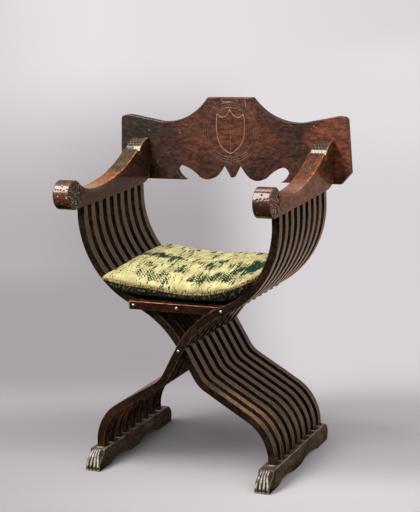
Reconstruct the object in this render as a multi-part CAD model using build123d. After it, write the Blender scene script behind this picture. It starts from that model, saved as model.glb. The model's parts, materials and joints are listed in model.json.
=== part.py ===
from build123d import *
from math import acos, cos, radians, sin
import os

os.makedirs("parts", exist_ok=True)

# Layers: the staves of the two sides and the slats of the seat share them in turn
side_staves = 9
layer_pitch = 19.8
layer_gap = 0.4
front_y = -154.0
layer_count = 2 * side_staves
layer_depth = layer_pitch - layer_gap
back_y = front_y + layer_count * layer_pitch - layer_gap

# The serpentine path of a stave, from the runner of one side to the arm of the other
stave_width = 21.0
foot_run = 9.357
ankle_radius = 120.0
shank_length = 133.002
knee_radius = 71.0
crook_length = 81.0
shoulder_radius = 260.0
arm_end_x = 271.0
arm_stand = 25.363
pivot_heading = 61.0
shoulder_heading = 23.0
shank_heading = 31.0
upright = 90.0
tenon_width = 12.0
tenon_depth = 12.0
tenon_length = 16.0
tenon_gap = 0.25

# Runners
runner_height = 51.0
runner_width = 41.0
runner_front = -203.0
runner_back = 227.0
arch_height = 12.0
front_arch = (-143.0, -30.0)
rear_arch = (22.0, 146.0)
heel_round = 24.0
heel_drop = 33.0
heel_lean = 5.0
toe_count = 4
toe_height = 16.0
toe_reach = 6.0
toe_root = 5.0
toe_inset = 0.6
ball_height = 22.0
ball_top = (-191.0, 41.0)
instep_back = -172.0

# Arms, drawn as a side view of (y, rise) points, where the rise is counted from the arm's underside
arm_width = 44.0
arm_inset = 3.0
scroll_radius = 37.5
scroll_y = -199.5
scroll_rise = 37.5
arm_back = 215.0
arm_low_start = (-195.0, 0.0)
arm_low_end = (168.0, 10.0)
arm_heel_mid = (193.0, 15.0)
arm_heel = (208.0, 22.0)
scroll_end_angle = 38.0
neck_mid = (-142.0, 48.0)
neck_low = (-105.0, 43.0)
arm_sweep_mid = (22.0, 56.5)
arm_step_top = (149.0, 109.0)
arm_step_foot = (152.0, 103.5)
pad_lip = (158.0, 104.0)
pad_mid = (175.0, 121.0)
pad_rise = 133.0

# Seat
seat_rise = 111.0
seat_pin_out = 0.403
slat_height = 22.0
slat_overhang = 13.0
slat_short = 3.0
seat_clearance = 0.3

# Rods
rod_radius = 3.0
centre_rod_radius = 2.5
bore_clearance = 0.05
rod_proud = 0.8
slot_down = 3.8
slot_up = 4.4
slot_run = 28.0

# Back board, drawn as the right half of a front view of (x, rise) points
board_thickness = 21.7
board_gap = 0.3
board_rise = 243.0
crest_half = 65.0
crest_sweep_mid = (125.0, 193.0)
dip = (202.0, 177.0)
rise_mid = (258.0, 187.0)
hump = (303.0, 195.0)
corner_start = (318.0, 194.0)
corner_mid = (326.0, 190.0)
corner_end = (329.0, 181.0)
side_foot = (336.0, 48.0)
chamfer_foot = (309.0, 18.0)
hook_tip = (139.0, 20.5)
hook_low_mid = (153.0, 27.0)
hook_out = (164.5, 44.0)
hook_high_mid = (158.0, 54.5)
hook_top = (145.0, 57.0)
lobe_flow_mid = (112.0, 41.0)
lobe_side = (96.0, 27.0)
lobe_low = (73.0, 20.0)
lobe_in = (49.0, 29.0)
peak_flow_mid = (36.0, 44.0)
peak = (24.0, 64.0)
point_flow_mid = (14.5, 48.0)
point_half = 3.0
point_rise = 27.5

# Board key, in a groove of the left arm
key_width = 14.0
key_depth = 12.0
key_rise = 38.0
key_gap = 0.3

# Cushion: half width, front, back and height of each level; its sides are drawn in by a share of their length
cushion_lift = 0.3
cushion_side_steps = 6
cushion_draw_share = 0.033
cushion_levels = (
    (106.0, -138.0, 152.0, 0.0),
    (134.0, -152.0, 168.0, 14.0),
    (163.0, -157.0, 178.0, 34.0),
    (180.0, -156.0, 180.0, 53.0),
    (165.0, -141.0, 165.0, 69.0),
    (124.0, -104.0, 128.0, 80.0),
    (62.0, -48.0, 72.0, 85.0),
)


def turn_x(radius, low, high):
    """How far a turn between two headings goes along X."""
    return radius * (sin(radians(high)) - sin(radians(low)))


def turn_z(radius, low, high):
    """How far a turn between two headings goes up."""
    return radius * (cos(radians(low)) - cos(radians(high)))


def stave_x(rise):
    """How far out a stave's centre line is at a height above the pivot."""
    if rise < shoulder_z:
        there = acos(cos(radians(pivot_heading)) + rise / shoulder_radius)
        return shoulder_radius * (sin(radians(pivot_heading)) - sin(there))
    there = acos(cos(radians(shoulder_heading)) - (rise - shoulder_z) / arm_radius)
    return shoulder_x + arm_radius * (sin(there) - sin(radians(shoulder_heading)))


# Places that follow from the stave's path: its foot, the pivot, the arms and the seat's rods
foot_x = (turn_x(ankle_radius, shank_heading, upright) + shank_length * cos(radians(shank_heading))
          + turn_x(knee_radius, shank_heading, pivot_heading) + crook_length * cos(radians(pivot_heading)))
pivot_height = (runner_height + foot_run + turn_z(ankle_radius, shank_heading, upright)
                + shank_length * sin(radians(shank_heading))
                + turn_z(knee_radius, shank_heading, pivot_heading) + crook_length * sin(radians(pivot_heading)))
shoulder_x = turn_x(shoulder_radius, shoulder_heading, pivot_heading)
shoulder_z = turn_z(shoulder_radius, shoulder_heading, pivot_heading)
arm_radius = (arm_end_x - shoulder_x) / (1 - sin(radians(shoulder_heading)))
arm_base = pivot_height + shoulder_z + turn_z(arm_radius, shoulder_heading, upright) + arm_stand
arm_centre_x = arm_end_x - arm_inset
seat_height = pivot_height + seat_rise
seat_reach = stave_x(seat_rise) + seat_pin_out


def walk(start, heading, steps, side=0.0):
    """A path of straight runs and turns in the XZ plane, shifted to its left by side."""
    angle = radians(heading)
    x, z = start[0] - side * sin(angle), start[1] + side * cos(angle)
    edges = []
    for size, turn in steps:
        if turn == 0:
            end = (x + size * cos(angle), z + size * sin(angle))
            edges.append(Line((x, 0, z), (end[0], 0, end[1])))
        else:
            hand = 1 if turn > 0 else -1
            radius = size - hand * side
            cx, cz = x - hand * radius * sin(angle), z + hand * radius * cos(angle)
            places = []
            for part in (turn / 2, turn):
                there = angle + radians(part)
                places.append((cx + hand * radius * sin(there), 0, cz - hand * radius * cos(there)))
            edges.append(ThreePointArc((x, 0, z), places[0], places[1]))
            end = (places[1][0], places[1][2])
            angle += radians(turn)
        x, z = end
    return edges, (x, z)


def stave_steps():
    """Runs and turns of a stave's centre line from the runner to above the arm's underside."""
    return (
        (foot_run, 0),
        (ankle_radius, shank_heading - upright),
        (shank_length, 0),
        (knee_radius, pivot_heading - shank_heading),
        (crook_length, 0),
        (shoulder_radius, shoulder_heading - pivot_heading),
        (arm_radius, upright - shoulder_heading),
        (arm_width, 0),
    )


def strip(width):
    """Face of the stave's serpentine strip in the XZ plane."""
    start = (-foot_x, runner_height)
    left, left_end = walk(start, upright, stave_steps(), width / 2)
    right, right_end = walk(start, upright, stave_steps(), -width / 2)
    low = Line((-foot_x - width / 2, 0, runner_height), (-foot_x + width / 2, 0, runner_height))
    high = Line((left_end[0], 0, left_end[1]), (right_end[0], 0, right_end[1]))
    return Face(Wire([low] + left + [high] + right))


def layer_y(layer):
    return front_y + layer * layer_pitch


def slab(face, layer):
    """The face made into a solid that fills one layer."""
    return Pos(0, layer_y(layer), 0) * extrude(face, amount=layer_depth, dir=(0, 1, 0))


def y_bore(x, z, radius):
    """A long round cutter along Y."""
    reach = 2 * (back_y - front_y)
    return Pos(x, 0, z) * Rot(90, 0, 0) * Cylinder(radius, reach)


def tenon(x, y, z, gap=0.0):
    """Tenon block standing up from z, or its mortise when a gap is given."""
    size = (tenon_width + 2 * gap, tenon_depth + 2 * gap, tenon_length + 2 * gap)
    low = (Align.CENTER, Align.CENTER, Align.MIN)
    return Pos(x, y, z - gap) * Box(size[0], size[1], size[2], align=low)


def through_y(points_edges, low_x, width):
    """A side view in the YZ plane made into a solid from low_x to low_x + width."""
    return Pos(low_x, 0, 0) * extrude(Face(Wire(points_edges)), amount=width, dir=(1, 0, 0))


def side(point):
    return (0, point[0], point[1])


def arm_side(point):
    return (0, point[0], arm_base + point[1])


def arm_block(low_x, width):
    """An arm's full side view, without its mortises."""
    end = radians(scroll_end_angle)
    scroll_end = (scroll_y + scroll_radius * cos(end), scroll_rise + scroll_radius * sin(end))
    scroll_start = (scroll_y, scroll_rise - scroll_radius)
    scroll_front = (scroll_y - scroll_radius, scroll_rise)
    heel = (arm_back, arm_heel[1])
    back_top = (arm_back, pad_rise)
    edges = [
        ThreePointArc(arm_side(scroll_start), arm_side(scroll_front), arm_side(scroll_end)),
        ThreePointArc(arm_side(scroll_end), arm_side(neck_mid), arm_side(neck_low)),
        ThreePointArc(arm_side(neck_low), arm_side(arm_sweep_mid), arm_side(arm_step_top)),
        Line(arm_side(arm_step_top), arm_side(arm_step_foot)),
        Line(arm_side(arm_step_foot), arm_side(pad_lip)),
        ThreePointArc(arm_side(pad_lip), arm_side(pad_mid), arm_side(back_top)),
        Line(arm_side(back_top), arm_side(heel)),
        Line(arm_side(heel), arm_side(arm_heel)),
        ThreePointArc(arm_side(arm_heel), arm_side(arm_heel_mid), arm_side(arm_low_end)),
        Line(arm_side(arm_low_end), arm_side(arm_low_start)),
        Line(arm_side(arm_low_start), arm_side(scroll_start)),
    ]
    return through_y(edges, low_x, width)


def arm_underside(y):
    """Height of the arm's underside at y, along its straight run."""
    share = (y - arm_low_start[0]) / (arm_low_end[0] - arm_low_start[0])
    return arm_base + arm_low_start[1] + share * (arm_low_end[1] - arm_low_start[1])


def arm_tenon_base(layer):
    """Height where a layer's upper tenon starts, at the lowest edge of its stave's top."""
    return arm_underside(layer_y(layer))


def stave(layer, wide_arm):
    """A stave of the right arm and the left runner, with its tenons and bores."""
    middle = layer_y(layer) + layer_depth / 2
    body = slab(strip(stave_width), layer) - wide_arm
    body += tenon(arm_end_x, middle, arm_tenon_base(layer))
    body += tenon(-foot_x, middle, runner_height - tenon_length)
    body -= y_bore(0, pivot_height, rod_radius + bore_clearance)
    body -= y_bore(seat_reach, seat_height, rod_radius + bore_clearance)
    return body


def right_arm(layers):
    low_x = arm_centre_x - arm_width / 2
    body = arm_block(low_x, arm_width)
    for layer in layers:
        middle = layer_y(layer) + layer_depth / 2
        body -= tenon(arm_end_x, middle, arm_tenon_base(layer), tenon_gap)
    return body


def key_block(gap=0.0):
    """The board's key beside the left arm's middle, or the groove for it when a gap is given."""
    face_y = arm_back + board_gap
    size = (key_width + 2 * gap, key_depth + gap, pad_rise - key_rise + 2 * gap)
    place = Pos(-arm_centre_x, face_y - size[1] / 2, arm_base + key_rise - gap + size[2] / 2)
    return place * Box(size[0], size[1], size[2])


def toes(low_x):
    """The paw's toes: a row of round fronts, sloped back at the top."""
    step = (runner_width - 2 * toe_inset) / toe_count
    root_y = runner_front + toe_root
    edges = []
    for toe in range(toe_count):
        start = low_x + toe_inset + step * toe
        edges.append(ThreePointArc((start, runner_front, 0), (start + step / 2, runner_front - toe_reach, 0),
                                   (start + step, runner_front, 0)))
    low, high = low_x + toe_inset, low_x + runner_width - toe_inset
    edges.append(Line((high, runner_front, 0), (high, root_y, 0)))
    edges.append(Line((high, root_y, 0), (low, root_y, 0)))
    edges.append(Line((low, root_y, 0), (low, runner_front, 0)))
    row = extrude(Face(Wire(edges)), amount=ball_height, dir=(0, 0, 1))
    tip_y, top_z = runner_front - toe_reach, ball_height - toe_inset
    slope = [(tip_y, 0), (tip_y, toe_height), (runner_front, top_z), (root_y, top_z), (root_y, 0)]
    edges = [Line(side(slope[i - 1]), side(slope[i])) for i in range(len(slope))]
    return row & through_y(edges, low_x, runner_width)


def runner(layers):
    """The left runner: a bar with two arches below, a round heel and a paw at the front."""
    low_x = -foot_x - runner_width / 2
    top_back = runner_back - heel_round
    front_mid = ((front_arch[0] + front_arch[1]) / 2, arch_height)
    rear_mid = ((rear_arch[0] + rear_arch[1]) / 2, arch_height)
    heel_turn = (runner_back - heel_round * (1 - sin(radians(upright / 2))),
                 runner_height - heel_drop * (1 - cos(radians(upright / 2))))
    corners = [
        (rear_arch[1], 0), (runner_back - heel_lean, 0), (runner_back, runner_height - heel_drop),
    ]
    edges = [
        Line(side((runner_front, 0)), side((front_arch[0], 0))),
        ThreePointArc(side((front_arch[0], 0)), side(front_mid), side((front_arch[1], 0))),
        Line(side((front_arch[1], 0)), side((rear_arch[0], 0))),
        ThreePointArc(side((rear_arch[0], 0)), side(rear_mid), side((rear_arch[1], 0))),
        Line(side(corners[0]), side(corners[1])),
        Line(side(corners[1]), side(corners[2])),
        ThreePointArc(side(corners[2]), side(heel_turn), side((top_back, runner_height))),
        Line(side((top_back, runner_height)), side((instep_back, runner_height))),
        Line(side((instep_back, runner_height)), side(ball_top)),
        Line(side(ball_top), side((runner_front, ball_height))),
        Line(side((runner_front, ball_height)), side((runner_front, 0))),
    ]
    body = through_y(edges, low_x, runner_width)
    body += toes(low_x)
    for layer in layers:
        middle = layer_y(layer) + layer_depth / 2
        body -= tenon(-foot_x, middle, runner_height - tenon_length, tenon_gap)
    return body


def seat_slat(layer):
    """A seat slat pinned on the left: its free end is cut to lie on the staves of the right arm."""
    slat_butt = seat_reach - slat_short
    length = seat_reach + slat_overhang + slat_butt
    centre = (slat_butt - seat_reach - slat_overhang) / 2
    middle = layer_y(layer) + layer_depth / 2
    body = Pos(centre, middle, seat_height) * Box(length, layer_depth, slat_height)
    body -= slab(strip(stave_width + 2 * seat_clearance), layer)
    return body - y_bore(-seat_reach, seat_height, rod_radius + bore_clearance)


def left_slat(layer):
    """A slat that carries the centre rod."""
    return seat_slat(layer) - y_bore(0, seat_height, centre_rod_radius + bore_clearance)


def right_slat(layer):
    """A slat of the right side, with a slot in which the centre rod moves as the chair folds."""
    reach = centre_rod_radius + bore_clearance
    low, high = seat_height - slot_down - reach, seat_height + slot_up + reach
    middle = layer_y(layer) + layer_depth / 2
    centre = (slot_run / 2, middle, (low + high) / 2)
    slot = Pos(*centre) * Box(slot_run + 2 * reach, layer_pitch, high - low)
    return seat_slat(layer).mirror(Plane.YZ) - slot


def rod(x, z, radius):
    """A plain rod through every layer, its ends just proud of the outer faces."""
    length = back_y - front_y + 2 * rod_proud
    return Pos(x, (front_y + back_y) / 2, z) * Rot(90, 0, 0) * Cylinder(radius, length)


def front(point, hand=1):
    return (hand * point[0], 0, arm_base + point[1])


def board_half(hand):
    """Edges of one half of the board's outline, from the crest's middle to the lower point."""
    crest = (crest_half, board_rise)
    hook_run = (hook_tip[0], chamfer_foot[1])
    point_side = (point_half, point_rise)
    return [
        Line(front((0, board_rise), hand), front(crest, hand)),
        ThreePointArc(front(crest, hand), front(crest_sweep_mid, hand), front(dip, hand)),
        ThreePointArc(front(dip, hand), front(rise_mid, hand), front(hump, hand)),
        Line(front(hump, hand), front(corner_start, hand)),
        ThreePointArc(front(corner_start, hand), front(corner_mid, hand), front(corner_end, hand)),
        Line(front(corner_end, hand), front(side_foot, hand)),
        Line(front(side_foot, hand), front(chamfer_foot, hand)),
        Line(front(chamfer_foot, hand), front(hook_run, hand)),
        ThreePointArc(front(hook_run, hand), front(hook_low_mid, hand), front(hook_out, hand)),
        ThreePointArc(front(hook_out, hand), front(hook_high_mid, hand), front(hook_top, hand)),
        ThreePointArc(front(hook_top, hand), front(lobe_flow_mid, hand), front(lobe_side, hand)),
        ThreePointArc(front(lobe_side, hand), front(lobe_low, hand), front(lobe_in, hand)),
        ThreePointArc(front(lobe_in, hand), front(peak_flow_mid, hand), front(peak, hand)),
        ThreePointArc(front(peak, hand), front(point_flow_mid, hand), front(point_side, hand)),
        Line(front(point_side, hand), front((0, point_rise), hand)),
    ]


def back_board():
    """The shaped back board."""
    face = Face(Wire(board_half(1) + board_half(-1)))
    return Pos(0, arm_back + board_gap, 0) * extrude(face, amount=board_thickness, dir=(0, 1, 0))


def cushion_ring(half, near, far, lift):
    """One level of the cushion, with each side drawn in along a parabola between its corners."""
    z = seat_height + slat_height / 2 + cushion_lift + lift
    corners = (Vector(-half, near, z), Vector(half, near, z), Vector(half, far, z), Vector(-half, far, z))
    points = []
    for number, start in enumerate(corners):
        along = corners[(number + 1) % len(corners)] - start
        inward = Vector(-along.Y, along.X, 0)
        for step in range(cushion_side_steps):
            share = step / cushion_side_steps
            depth_share = cushion_draw_share * (1 - (2 * share - 1) ** 2)
            points.append(start + along * share + inward * depth_share)
    return points


def cushion():
    """The cushion: its levels joined by flat facets, since every side keeps its directions."""
    rings = [cushion_ring(*level) for level in cushion_levels]
    facets = [Face(Wire.make_polygon(rings[0])), Face(Wire.make_polygon(rings[-1]))]
    for low, high in zip(rings, rings[1:]):
        for i in range(len(low)):
            facets.append(Face(Wire.make_polygon([low[i - 1], low[i], high[i], high[i - 1]])))
    return Solid(Shell(facets))


def save(name, shape):
    export_step(shape, "parts/" + name + ".step")


right_layers = range(0, layer_count, 2)
left_layers = range(1, layer_count, 2)
wide_arm = arm_block(arm_centre_x - arm_width, 2 * arm_width)

# Staves: the right ones lie in the first, third and further odd layers, the left ones between them
for number, layer in enumerate(right_layers, 1):
    save("stave_right_%d" % number, stave(layer, wide_arm))
for number, layer in enumerate(left_layers, 1):
    save("stave_left_%d" % number, stave(layer, wide_arm).mirror(Plane.YZ))

# Arms and runners
save("arm_right", right_arm(right_layers))
save("arm_left", right_arm(left_layers).mirror(Plane.YZ) - key_block(key_gap))
save("runner_left", runner(right_layers))
save("runner_right", runner(left_layers).mirror(Plane.YZ))

# Seat slats: each set lies in the layers of the staves it butts on
for number, layer in enumerate(right_layers, 1):
    save("slat_left_%d" % number, left_slat(layer))
for number, layer in enumerate(left_layers, 1):
    save("slat_right_%d" % number, right_slat(layer))

# Rods
rods = (
    ("pivot", 0, pivot_height, rod_radius),
    ("left_seat", -seat_reach, seat_height, rod_radius),
    ("right_seat", seat_reach, seat_height, rod_radius),
    ("centre_seat", 0, seat_height, centre_rod_radius),
)
for name, x, z, radius in rods:
    save(name + "_rod", rod(x, z, radius))

# Back board with its key, and the cushion
save("back_board", back_board())
save("board_key", key_block())
save("cushion", cushion())
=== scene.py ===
import json
from itertools import product
from math import atan2, cos, degrees, dist, exp, hypot, pi, radians, sin, sqrt

import bmesh
import bpy
import numpy
from mathutils import Matrix, Vector, geometry, noise

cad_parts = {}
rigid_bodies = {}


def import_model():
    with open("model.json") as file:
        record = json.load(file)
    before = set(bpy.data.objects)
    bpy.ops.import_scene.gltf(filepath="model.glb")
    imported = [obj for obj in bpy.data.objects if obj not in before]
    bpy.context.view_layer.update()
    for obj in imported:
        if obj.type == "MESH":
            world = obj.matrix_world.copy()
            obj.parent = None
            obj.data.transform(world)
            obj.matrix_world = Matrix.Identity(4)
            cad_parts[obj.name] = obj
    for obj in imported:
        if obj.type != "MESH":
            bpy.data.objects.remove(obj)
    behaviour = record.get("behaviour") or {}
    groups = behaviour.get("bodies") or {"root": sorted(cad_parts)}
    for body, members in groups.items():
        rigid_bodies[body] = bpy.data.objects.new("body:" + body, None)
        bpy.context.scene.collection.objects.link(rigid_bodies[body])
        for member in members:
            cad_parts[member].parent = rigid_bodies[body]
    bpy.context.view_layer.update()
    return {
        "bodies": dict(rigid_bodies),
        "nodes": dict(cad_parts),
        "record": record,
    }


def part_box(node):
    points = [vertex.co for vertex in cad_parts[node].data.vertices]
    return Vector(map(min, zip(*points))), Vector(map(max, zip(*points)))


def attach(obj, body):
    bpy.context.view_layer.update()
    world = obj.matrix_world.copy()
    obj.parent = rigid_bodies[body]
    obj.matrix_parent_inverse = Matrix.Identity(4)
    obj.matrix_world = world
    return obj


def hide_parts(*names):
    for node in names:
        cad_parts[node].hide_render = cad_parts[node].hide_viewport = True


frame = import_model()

MM = 0.001
ROUND = 2 * pi
SIDES = {"right": 1, "left": -1}
NUMBERS = range(1, 10)  # of the staves and slats on each side
BODY_OF = {node: body for body, nodes in frame["record"]["behaviour"]["bodies"].items() for node in nodes}

# Camera, fitted to the photograph
TARGET = Vector((-0.0161, 0.092, 0.52295))
AZIMUTH = radians(24.7)
ELEVATION = radians(11.7)
ROLL = radians(-2.01)
DISTANCE = 3.5176
LENS = 93.39

# Backdrop: how light its floor is, how light all that lies far round the chair is, and its green and blue
FLOOR_LEVEL = 0.313
PALE = 0.66
PAPER_GREEN, PAPER_BLUE = 0.945, 0.975

# How far a side turns as the chair folds, and how far the runners then go down
FOLD_ANGLE = radians(26.25)
FOLD_DROP = 0.0802


def shares(count):
    """Numbers from 0 to 1 in even steps."""
    return [i / (count - 1) for i in range(count)]


def all_round(count):
    """Angles all the way round in even steps."""
    return [ROUND * i / count for i in range(count)]


def mix(a, b, t):
    return a + (b - a) * t


def smooth(low, high, value):
    """0 below low, 1 above high, with a soft change in between."""
    t = min(1, max(0, (value - low) / (high - low)))
    return t * t * (3 - 2 * t)


def dot(gap, reach):
    """A round hollow: 1 at its middle, 0 from its reach outwards."""
    return max(0, 1 - (gap / reach) ** 2)


def oval(x, y, middle_x, middle_y, wide, long):
    """1 at the middle of an oval, 0 from its edge outwards."""
    return max(0, 1 - ((x - middle_x) / wide) ** 2 - ((y - middle_y) / long) ** 2)


def wobble(place, scale, seed=0):
    """Smooth noise from -1 to 1 at a place in metres."""
    return noise.noise(Vector(place) * scale + Vector((seed, -seed, 2 * seed)))


# Materials

class Shading:
    """The emptied node tree of a new material or world, with short ways to add nodes to it."""

    def __init__(self, owner):
        self.owner = owner
        owner.use_nodes = True
        self.tree = owner.node_tree
        self.tree.nodes.clear()

    def add(self, kind, values=(), **settings):
        """Adds a node with its settings and (socket, value or output) pairs, and gives back its outputs."""
        made = self.tree.nodes.new("ShaderNode" + kind)
        for key, value in settings.items():
            setattr(made, key, value)
        for name, value in values:
            socket = made.inputs[name]
            if isinstance(value, bpy.types.NodeSocket):
                self.tree.links.new(value, socket)
            else:
                socket.default_value = (*value, 1) if socket.type == "RGBA" else value
        return made.outputs

    def math(self, operation, a, b, clamp=False):
        return self.add("Math", [(0, a), (1, b)], operation=operation, use_clamp=clamp)[0]

    def times(self, a, b, clamp=False):
        return self.math("MULTIPLY", a, b, clamp)

    def plus(self, total, *others):
        for other in others:
            total = self.math("ADD", total, other)
        return total

    def blend(self, factor, a, b, kind="MIX"):
        return self.add("Mix", [(0, factor), (6, a), (7, b)], data_type="RGBA", blend_type=kind)[2]

    def ramp(self, value, low, high, start=0, end=1):
        """Maps low to high onto start to end, with a soft change."""
        return self.add("MapRange", [(0, value), (1, low), (2, high), (3, start), (4, end)],
                        interpolation_type="SMOOTHSTEP")[0]

    def noise(self, vector, scale, detail=4, rough=0.55, distortion=0):
        return self.add("TexNoise", [("Vector", vector), ("Scale", scale), ("Detail", detail),
                                     ("Roughness", rough), ("Distortion", distortion)])[0]

    def place(self, turn=(0, 0, 0), stretch=(1, 1, 1)):
        """The place on the object, in metres, turned and stretched."""
        where = self.add("TexCoord")["Object"]
        turned = self.add("Mapping", [("Vector", where), ("Rotation", turn)])[0]
        return self.add("Mapping", [("Vector", turned), ("Scale", stretch)])[0]

    def attribute(self, name):
        return self.add("Attribute", attribute_name=name)["Fac"]

    def either(self, factor, first, second):
        """The first shader where the factor is 0, the second where it is 1."""
        return self.add("MixShader", [(0, factor), (1, first), (2, second)])[0]

    def finish(self, shader, kind="OutputMaterial"):
        self.add(kind, [("Surface", shader)])
        return self.owner

    def surface(self, colour, roughness, strength, distance, height, *others):
        """Finishes a material with a bump from a height and other (socket, value)s."""
        bump = self.add("Bump", [("Strength", strength), ("Distance", distance), ("Height", height)])[0]
        values = [("Base Color", colour), ("Roughness", roughness), ("Normal", bump), *others]
        return self.finish(self.add("BsdfPrincipled", values)[0])


def new_material(name):
    return Shading(bpy.data.materials.new(name))


def scaled(colour, share):
    return tuple(channel * share for channel in colour)


def wood(name, dark, mid, light, worn, coat, turn=(0, 0, 0), roughness=0.5, blur=0.22,
         grime=(0.1, 0.085, 0.075), dirt=0.3, wear=0.8, scar_and_highlight=(0.52, 0.36, 0.27),
         glow=(0.24, 0.075, 0.025), dull=(0.034, 0.03, 0.019), level=0.05, mottle=0.38, flecks=0.2, polish=0):
    """Old walnut: grain along the turned X axis, pores, darker and redder clouds, grime and worn edges, with
    painted shade in hollows and painted light and shade from the vertex values.
    """
    n = new_material(name)
    free = n.place()

    def grain(length, *settings):
        return n.noise(n.place(turn, (length, 1, 1)), *settings)

    fine, broad = grain(0.07, 420, 6, 0.62, 0.3), grain(0.07, 75, 4, 0.6, 1.2)
    pores = grain(0.03, 900, 2, 0.5)
    cloud, dust = n.noise(free, 9, 3, 0.55, 0.6), n.noise(free, 60, 5, 0.7)
    # The warmth values are real tone on the board, and on the arms and staves partly painted light (glow) and
    # painted shade (dull)
    warmth_and_light, cut = n.attribute("warmth_and_light"), n.attribute("cut")
    speckled = n.times(n.ramp(n.noise(free, 330, 2), 0.6, 0.72),
                       n.ramp(n.noise(free, 24, 2), 0.42, 0.6, 0.25 * flecks, flecks))
    edge = n.times(n.attribute("edge"), n.ramp(n.noise(free, 38, 4, 0.6), 0.34, 0.56, 0.25, 1))
    # Painted shade: ambient occlusion darkens the colour in hollows, corners and between parts
    hollow = n.add("AmbientOcclusion", [("Distance", 0.012)], samples=6)["AO"]
    tone = dark
    for factor, colour in (
            (n.ramp(broad, 0.36, 0.66), mid),
            (n.ramp(cloud, 0.44, 0.68), light),
            (n.times(n.ramp(fine, 0.45, 0.75), 0.35), light),
            (n.times(n.ramp(pores, 0.6, 0.7), 0.55), scaled(dark, 0.35)),
            (n.times(warmth_and_light, n.ramp(broad, 0.25, 0.6, 0.45, 1), True), glow),
            (n.times(warmth_and_light, n.ramp(dust, 0.3, 0.6, -0.6, -1), True), dull),
            (n.times(n.ramp(dust, 0.5, 0.72), dirt), grime),
            (speckled, tuple(min(1, 2.6 * channel + 0.02) for channel in grime)),
            (n.times(edge, wear), worn),
            (n.ramp(hollow, 0.25, 0.85, 0.75, 0), scaled(dark, 0.25))):
        tone = n.blend(factor, tone, colour)
    each = n.ramp(n.add("ObjectInfo")["Random"], 0, 1, 0.86, 1.12)
    uneven = n.times(each, n.ramp(grain(0.45, 150, 3, 0.6), 0.34, 0.66, 1 - mottle, 1 + mottle))
    tone = n.blend(1, tone, n.add("CombineColor", [(i, uneven) for i in range(3)])[0], "MULTIPLY")
    # Above 0 the cut value lightens towards the pale colour: chips, scratches and carving, and also painted
    # highlights and glints. Below 0 it darkens towards black: carved hollows and painted shade.
    tone = n.blend(n.times(cut, 0.9, True), tone, scar_and_highlight)
    tone = n.blend(n.times(cut, -0.9, True), tone, (0.01, 0.006, 0.004))
    shine = n.plus(roughness, n.times(n.math("SUBTRACT", dust, 0.5), 0.5), n.times(edge, -0.08))
    height = n.plus(n.times(fine, 0.6), n.times(pores, -0.5), n.times(dust, 0.7))
    if polish:
        coat = n.plus(n.times(n.attribute("polish"), polish), coat)
    return n.surface(tone, shine, 0.35, 0.0006, height, ("Coat Weight", coat), ("Coat Roughness", blur),
                     ("Specular IOR Level", level))


def spotted(name, scale, detail, low, high, first, second, surface, *others):
    """Two colours in small spots, which stand out a little."""
    n = new_material(name)
    spots = n.noise(n.place(), scale, detail, 0.6)
    return n.surface(n.blend(n.ramp(spots, low, high), first, second), *surface, spots, *others)


def velvet():
    """Velvet worn down to a straw-coloured ground, with dark green pile left in streaks and checks, and a lower
    side painted near black as shade.
    """
    n = new_material("velvet")
    free = n.place()

    def threads(stretch, *settings):
        return n.noise(n.place((0, 0, radians(-4)), stretch), *settings)

    streak = threads((1, 0.22, 0.6), 75, 6, 0.62, 0.5)
    thread = threads((1, 0.06, 0.2), 270, 3, 0.6)
    cross = threads((0.08, 1, 0.2), 270, 2, 0.6)
    fleck = threads((1, 0.4, 0.6), 210, 3, 0.6)
    place = n.add("SeparateXYZ", [(0, free)])
    drift = n.times(n.noise(free, 30, 2), 5)
    waves = [n.math("SINE", n.plus(n.times(place[i], pitch), drift), 0) for i, pitch in ((0, 700), (1, 620))]
    ground = n.blend(n.ramp(n.noise(free, 30, 4), 0.38, 0.66), (0.71, 0.65, 0.31), (0.49, 0.41, 0.18))
    ground = n.blend(n.times(n.ramp(thread, 0.5, 0.72), 0.4), ground, (0.34, 0.32, 0.18))
    pile = n.blend(n.ramp(n.noise(free, 900, 3, 0.6), 0.4, 0.7), (0.004, 0.027, 0.013), (0.016, 0.064, 0.031))
    hidden = n.attribute("pile")
    parts = [n.times(n.math("SUBTRACT", part, 0.5), share)
             for part, share in ((thread, 0.8), (cross, 0.34), (fleck, 0.45))]
    amount = n.plus(n.times(streak, 0.75), *parts, n.times(hidden, 0.22),
                    n.times(n.attribute("check"), n.times(n.times(*waves), 0.24)))
    green = n.ramp(amount, 0.447, 0.503)
    # The lower side is painted near black with a few olive flecks: painted shade
    shaded_under = n.blend(n.ramp(fleck, 0.55, 0.62), (0.004, 0.007, 0.005), (0.13, 0.125, 0.045))
    tone = n.blend(n.ramp(hidden, 1.3, 1.9), n.blend(green, ground, pile), shaded_under)
    weave = n.plus(n.times(thread, 0.6), n.times(cross, 0.4))
    return n.surface(tone, 0.88, 0.6, 0.0012, n.plus(n.times(green, 0.7), weave), ("Sheen Weight", 0.03),
                     ("Sheen Roughness", 0.5), ("Specular IOR Level", 0.05))


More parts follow.
